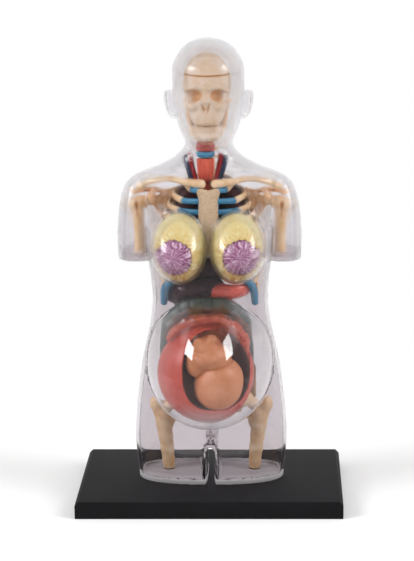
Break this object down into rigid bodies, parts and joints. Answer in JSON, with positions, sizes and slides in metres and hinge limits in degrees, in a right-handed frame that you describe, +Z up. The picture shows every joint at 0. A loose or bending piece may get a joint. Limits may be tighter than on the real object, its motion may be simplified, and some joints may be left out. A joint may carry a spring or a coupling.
{
  "type": "pregnancy torso model",
  "caption": "Clear desk model of a pregnant woman's head, torso and thigh stumps on a flat black base, with lift-out skeleton, organs and uterus with fetus.",
  "frame": {"origin": "centre of the underside of the base plate", "axes": "+Z up along the figure, the figure looks along -Y, +X towards the figure's left arm"},
  "size_m": [0.17, 0.113, 0.2976],
  "materials": {
    "black_plastic": "matt black moulded plastic",
    "clear_plastic": "clear glossy plastic",
    "ivory_plastic": "ivory satin plastic, shaded in the hollows",
    "tan_plastic": "tan satin plastic",
    "blue_plastic": "blue satin plastic",
    "dark_blue_plastic": "dark blue glossy plastic",
    "red_plastic": "orange-red glossy plastic",
    "dark_red_plastic": "dark red glossy plastic",
    "maroon_plastic": "very dark maroon glossy plastic",
    "grey_plastic": "grey-green glossy plastic",
    "rose_plastic": "rose-red satin plastic",
    "pink_plastic": "pink satin plastic",
    "skin_plastic": "orange-tan glossy plastic",
    "yellow_plastic": "yellow satin plastic with ochre shading",
    "purple_plastic": "purple satin plastic"
  },
  "bodies": {
    "base": {"base_plate": "black_plastic"},
    "torso": {"back_shell": "clear_plastic", "uterus_post": "clear_plastic", "left_arm_cap": "clear_plastic", "right_arm_cap": "clear_plastic", "left_leg_cap": "clear_plastic", "right_leg_cap": "clear_plastic", "neck_spine": "ivory_plastic", "rib_cage": "ivory_plastic", "lumbar_spine": "ivory_plastic", "pelvis": "ivory_plastic", "left_clavicle": "ivory_plastic", "right_clavicle": "ivory_plastic", "left_scapula": "ivory_plastic", "right_scapula": "ivory_plastic", "left_humerus": "ivory_plastic", "right_humerus": "ivory_plastic", "left_femur": "ivory_plastic", "right_femur": "ivory_plastic", "pharynx": "red_plastic", "larynx": "blue_plastic", "trachea": "red_plastic", "thyroid_gland": "red_plastic", "left_carotid_artery": "dark_red_plastic", "right_carotid_artery": "dark_red_plastic", "left_jugular_vein": "dark_blue_plastic", "right_jugular_vein": "dark_blue_plastic", "heart": "dark_red_plastic", "left_lung": "maroon_plastic", "right_lung": "maroon_plastic", "diaphragm": "maroon_plastic", "left_kidney": "dark_red_plastic", "right_kidney": "dark_red_plastic", "bladder": "tan_plastic"},
    "front_cover": {"front_shell": "clear_plastic"},
    "belly_dome": {"belly_cover": "clear_plastic"},
    "left_breast": {"left_breast_fat": "yellow_plastic", "left_milk_gland": "purple_plastic"},
    "right_breast": {"right_breast_fat": "yellow_plastic", "right_milk_gland": "purple_plastic"},
    "breast_plate": {"sternum": "tan_plastic", "left_rib_cartilages": "blue_plastic", "right_rib_cartilages": "blue_plastic"},
    "womb": {"uterus": "rose_plastic", "placenta": "dark_red_plastic"},
    "baby": {"fetus": "skin_plastic"},
    "intestines": {"large_intestine": "grey_plastic", "small_intestine": "red_plastic"},
    "stomach_body": {"stomach": "red_plastic"},
    "liver_body": {"liver": "maroon_plastic"},
    "head_bones": {"skull": "ivory_plastic", "mandible": "ivory_plastic", "brain": "pink_plastic"},
    "head_cap": {"skull_cap": "ivory_plastic"}
  },
  "joints": [
    {"name": "torso_lift", "type": "slide", "parent": "base", "child": "torso", "axis": [0, 0, 1], "range_m": [0, 0.05]},
    {"name": "front_shell_slide", "type": "slide", "parent": "torso", "child": "front_cover", "axis": [0, -1, 0], "range_m": [0, 0.2]},
    {"name": "belly_cover_slide", "type": "slide", "parent": "front_cover", "child": "belly_dome", "axis": [0, -1, 0], "range_m": [0, 0.1]},
    {"name": "left_breast_slide", "type": "slide", "parent": "torso", "child": "left_breast", "axis": [0, -1, 0], "range_m": [0, 0.17]},
    {"name": "right_breast_slide", "type": "slide", "parent": "torso", "child": "right_breast", "axis": [0, -1, 0], "range_m": [0, 0.17]},
    {"name": "breast_bone_slide", "type": "slide", "parent": "torso", "child": "breast_plate", "axis": [0, -1, 0], "range_m": [0, 0.14]},
    {"name": "uterus_slide", "type": "slide", "parent": "torso", "child": "womb", "axis": [0, -1, 0], "range_m": [0, 0.15]},
    {"name": "fetus_slide", "type": "slide", "parent": "womb", "child": "baby", "axis": [0, -1, 0], "range_m": [0, 0.06]},
    {"name": "intestine_slide", "type": "slide", "parent": "torso", "child": "intestines", "axis": [0, -1, 0], "range_m": [0, 0.11]},
    {"name": "stomach_slide", "type": "slide", "parent": "torso", "child": "stomach_body", "axis": [0, -1, 0], "range_m": [0, 0.09]},
    {"name": "liver_slide", "type": "slide", "parent": "torso", "child": "liver_body", "axis": [0, -1, 0], "range_m": [0, 0.09]},
    {"name": "skull_slide", "type": "slide", "parent": "torso", "child": "head_bones", "axis": [0, -1, 0], "range_m": [0, 0.1]},
    {"name": "skull_cap_lift", "type": "slide", "parent": "head_bones", "child": "head_cap", "axis": [0, 0, 1], "range_m": [0, 0.03]}
  ],
  "couplings": [
    {"joint": "left_breast_slide", "follows": "front_shell_slide", "ratio": 0.85},
    {"joint": "right_breast_slide", "follows": "front_shell_slide", "ratio": 0.85},
    {"joint": "breast_bone_slide", "follows": "front_shell_slide", "ratio": 0.7},
    {"joint": "uterus_slide", "follows": "front_shell_slide", "ratio": 0.75},
    {"joint": "fetus_slide", "follows": "belly_cover_slide", "ratio": 0.6},
    {"joint": "intestine_slide", "follows": "front_shell_slide", "ratio": 0.55},
    {"joint": "stomach_slide", "follows": "front_shell_slide", "ratio": 0.45},
    {"joint": "liver_slide", "follows": "front_shell_slide", "ratio": 0.45},
    {"joint": "skull_slide", "follows": "front_shell_slide", "ratio": 0.5},
    {"joint": "skull_cap_lift", "follows": "front_shell_slide", "ratio": 0.15}
  ]
}
